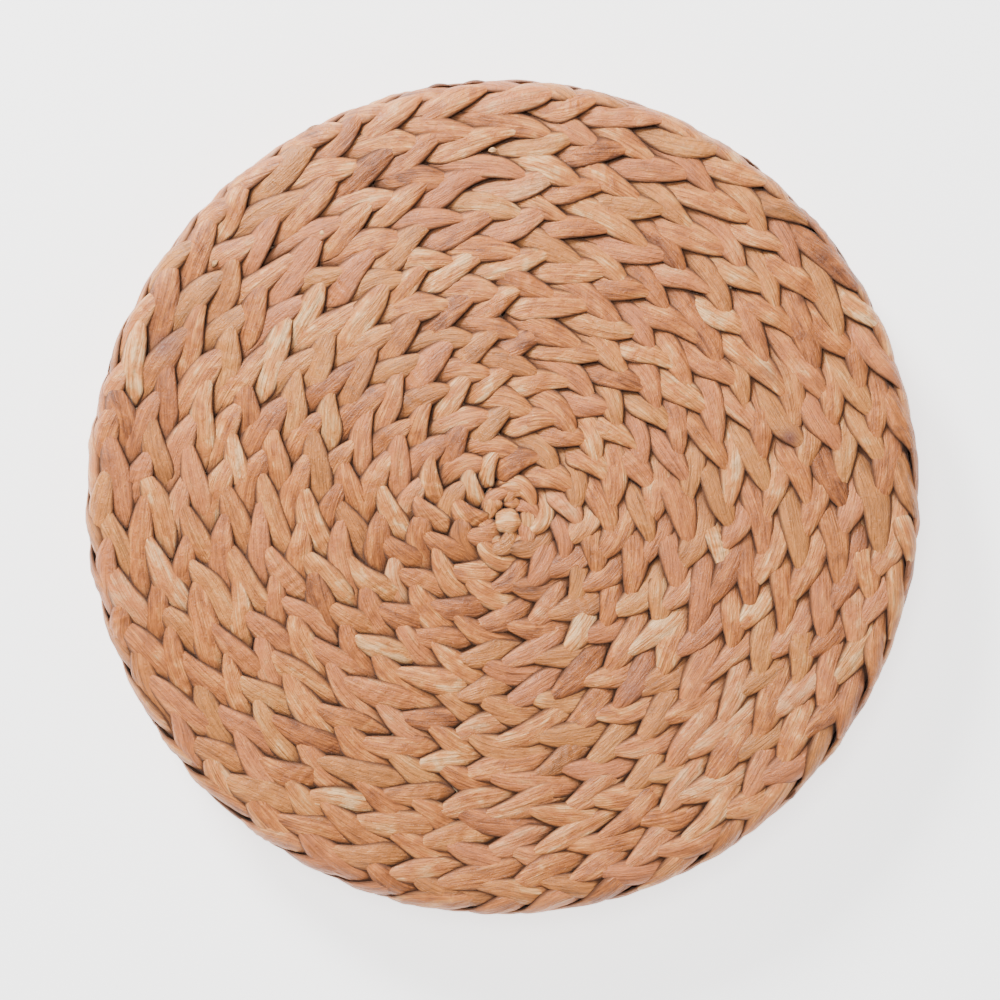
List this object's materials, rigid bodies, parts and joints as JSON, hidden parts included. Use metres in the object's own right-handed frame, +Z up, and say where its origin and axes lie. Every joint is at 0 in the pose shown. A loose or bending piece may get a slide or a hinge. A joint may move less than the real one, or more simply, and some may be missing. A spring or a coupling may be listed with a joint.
{
  "type": "round braided seat pad",
  "caption": "Round chair seat pad covered in a flat three-strand braid of wide plant leaves, coiled from the middle of each face and round the side, over a foam core.",
  "frame": {"origin": "middle of the underside, on the surface that the pad rests on", "axes": "+Z up through the pad's thickness, square to both faces; +X and +Y in the plane of the pad"},
  "size_m": [0.4, 0.4, 0.054],
  "materials": {
    "top_braid": "satin dried leaf",
    "side_braid": "satin dried leaf",
    "bottom_braid": "satin dried leaf",
    "sewing_thread": "matt twisted thread",
    "liner_cloth": "matt non-woven cloth",
    "foam": "matt open-cell foam"
  },
  "bodies": {
    "root": {"top_braid_start": "top_braid", "top_braid_round_01": "top_braid", "top_braid_round_02": "top_braid", "top_braid_round_03": "top_braid", "top_braid_round_04": "top_braid", "top_braid_round_05": "top_braid", "top_braid_round_06": "top_braid", "top_braid_round_07": "top_braid", "top_braid_round_08": "top_braid", "top_braid_round_09": "top_braid", "top_braid_round_10": "top_braid", "top_braid_last_stretch": "top_braid", "bottom_braid_start": "bottom_braid", "bottom_braid_round_01": "bottom_braid", "bottom_braid_round_02": "bottom_braid", "bottom_braid_round_03": "bottom_braid", "bottom_braid_round_04": "bottom_braid", "bottom_braid_round_05": "bottom_braid", "bottom_braid_round_06": "bottom_braid", "bottom_braid_round_07": "bottom_braid", "bottom_braid_round_08": "bottom_braid", "bottom_braid_round_09": "bottom_braid", "bottom_braid_round_10": "bottom_braid", "bottom_braid_last_stretch": "bottom_braid", "side_braid_round_1": "side_braid", "side_braid_round_2": "side_braid", "side_braid_round_3": "side_braid", "top_seam_thread": "sewing_thread", "bottom_seam_thread": "sewing_thread", "rim_seam_thread": "sewing_thread", "side_seam_thread_upper": "sewing_thread", "side_seam_thread_lower": "sewing_thread", "closing_seam_thread": "sewing_thread", "liner_top_panel": "liner_cloth", "liner_side_band": "liner_cloth", "liner_bottom_panel": "liner_cloth", "foam_core": "foam"}
  },
  "joints": []
}
